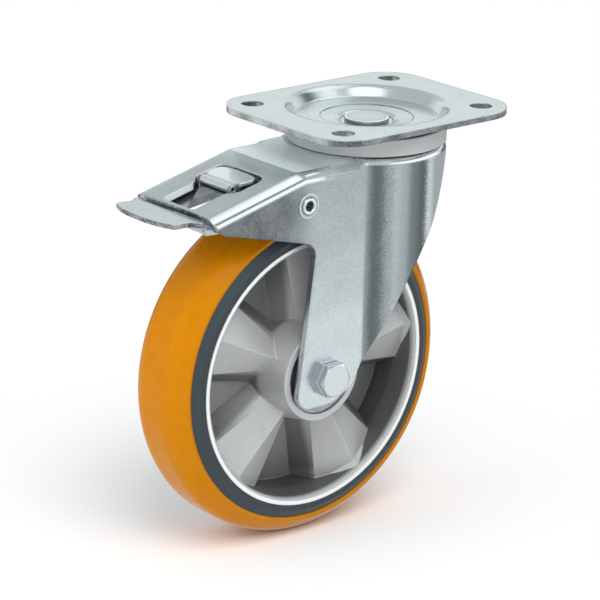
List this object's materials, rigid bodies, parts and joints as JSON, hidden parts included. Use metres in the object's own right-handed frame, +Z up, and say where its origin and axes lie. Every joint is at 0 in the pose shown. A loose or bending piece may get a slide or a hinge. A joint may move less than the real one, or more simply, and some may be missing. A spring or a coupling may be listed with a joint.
{
  "type": "swivel castor",
  "caption": "Plate-mounted swivel castor with an offset pressed fork, a cast-core tyred wheel and a foot pedal that locks the wheel and the swivel.",
  "frame": {"origin": "middle of the mounting plate's top face, on the swivel axis", "axes": "+Z up, out of the plate's top face; -X towards the wheel and pedal (straight-ahead trail); -Y towards the axle bolt's head"},
  "size_m": [0.235, 0.114, 0.245],
  "materials": {
    "plated_sheet": "bright zinc-plated pressed sheet",
    "plated_turned": "bright zinc-plated turned steel",
    "cover_grey": "matte moulded grey",
    "ball_steel": "polished bearing steel",
    "ground_steel": "ground bearing steel",
    "cast_aluminium": "as-cast aluminium with machined rim edge",
    "amber_tread": "glossy amber polyurethane",
    "dark_cushion": "satin dark blue-grey rubber",
    "seal_rubber": "matte black seal",
    "spring_steel": "oiled spring steel"
  },
  "bodies": {
    "plate": {"top_plate": "plated_sheet", "kingpin": "plated_turned", "race_cover_ring": "cover_grey", "lower_race": "plated_sheet", "lock_ring": "plated_sheet", "upper_balls": "ball_steel", "lower_balls": "ball_steel"},
    "fork": {"fork": "plated_sheet", "pivot_rivets": "plated_turned", "axle_bolt": "plated_turned", "lock_nut": "plated_turned", "nut_washer": "plated_turned", "axle_tube": "ground_steel", "bearing_spacer": "ground_steel", "distance_ring_bolt_side": "ground_steel", "distance_ring_nut_side": "ground_steel", "bearing_inner_ring_bolt_side": "ground_steel", "bearing_inner_ring_nut_side": "ground_steel", "brake_spring": "spring_steel"},
    "wheel": {"wheel_core": "cast_aluminium", "cushion_ring": "dark_cushion", "tread": "amber_tread", "bearing_outer_ring_bolt_side": "ground_steel", "bearing_outer_ring_nut_side": "ground_steel", "bearing_balls_bolt_side": "ball_steel", "bearing_balls_nut_side": "ball_steel", "bearing_seals_bolt_side": "seal_rubber", "bearing_seals_nut_side": "seal_rubber"},
    "pedal": {"brake_pedal": "plated_sheet", "brake_shoe": "plated_sheet", "lock_tooth": "plated_turned", "tongue_pin": "plated_turned"},
    "tongue": {"release_tongue": "plated_sheet"}
  },
  "joints": [
    {"name": "swivel", "type": "hinge", "parent": "plate", "child": "fork", "pos_m": [0, 0, 0], "axis": [0, 0, 1], "continuous": true},
    {"name": "wheel_spin", "type": "hinge", "parent": "fork", "child": "wheel", "pos_m": [-0.055, 0, -0.145], "axis": [0, 1, 0], "continuous": true},
    {"name": "pedal_tilt", "type": "hinge", "parent": "fork", "child": "pedal", "pos_m": [-0.0727, 0, -0.0397], "axis": [0, -1, 0], "range_deg": [0, 8], "deforming": ["brake_spring"]},
    {"name": "tongue_tilt", "type": "hinge", "parent": "pedal", "child": "tongue", "pos_m": [-0.1096, 0, -0.029], "axis": [0, 1, 0], "range_deg": [0, 12]}
  ]
}
